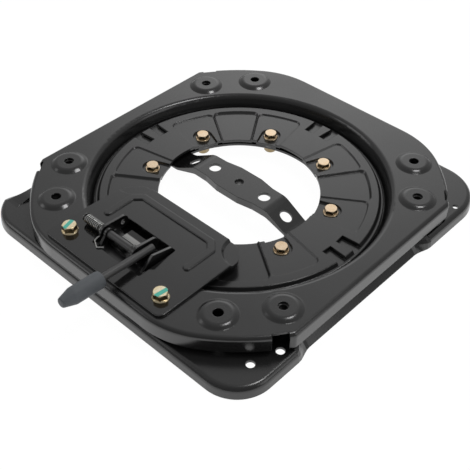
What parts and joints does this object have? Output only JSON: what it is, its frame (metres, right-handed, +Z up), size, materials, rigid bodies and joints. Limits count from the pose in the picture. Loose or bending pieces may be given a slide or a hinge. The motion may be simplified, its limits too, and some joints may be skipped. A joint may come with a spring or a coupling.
{
  "type": "seat swivel base",
  "caption": "Flat turntable for a vehicle seat: a pressed plate turns on a base plate and is held by a spring-loaded hand lever.",
  "frame": {"origin": "on the swivel axis, at the bottom of the lower plate", "axes": "+Z up along the swivel axis, -Y towards the lever's side, +X to the right seen from the lever"},
  "size_m": [0.386, 0.458, 0.0606],
  "materials": {
    "black_paint": "semi-gloss black electro-coat on pressed steel",
    "yellow_zinc": "yellow zinc plate",
    "bare_steel": "bare steel",
    "spring_steel": "dark oiled steel",
    "rod_paint": "satin black",
    "slide_plastic": "black slide plastic",
    "grip_rubber": "blue-grey rubber"
  },
  "bodies": {
    "base": {"lower_plate": "black_paint", "cross_bar": "black_paint", "bar_weld_nut": "black_paint", "retaining_ring": "black_paint", "ring_bolts": "yellow_zinc", "ring_nuts": "yellow_zinc", "ring_spacers": "bare_steel", "lower_slide_ring": "slide_plastic", "upper_slide_ring": "slide_plastic"},
    "turntable": {"upper_plate": "black_paint", "seat_weld_nuts": "bare_steel", "lock_plate": "black_paint", "lock_bolt_left": "yellow_zinc", "lock_bolt_right": "yellow_zinc", "lock_nuts": "yellow_zinc", "pivot_bracket": "black_paint", "pivot_sleeve": "rod_paint", "torsion_spring": "spring_steel"},
    "lever": {"lever_carrier": "black_paint", "lock_pawl": "bare_steel", "lever_rod": "rod_paint", "lever_grip": "grip_rubber", "pivot_pin": "spring_steel", "pin_clip": "bare_steel"}
  },
  "joints": [
    {"name": "swivel", "type": "hinge", "parent": "base", "child": "turntable", "pos_m": [0, 0, 0.016], "axis": [0, 0, 1], "continuous": true},
    {"name": "lever", "type": "hinge", "parent": "turntable", "child": "lever", "pos_m": [0, -0.1585, 0.045], "axis": [1, 0, 0], "range_deg": [-13, 0], "stiffness_Nm_per_rad": 0.8, "springref_deg": -22.92, "deforming": ["torsion_spring"]}
  ]
}
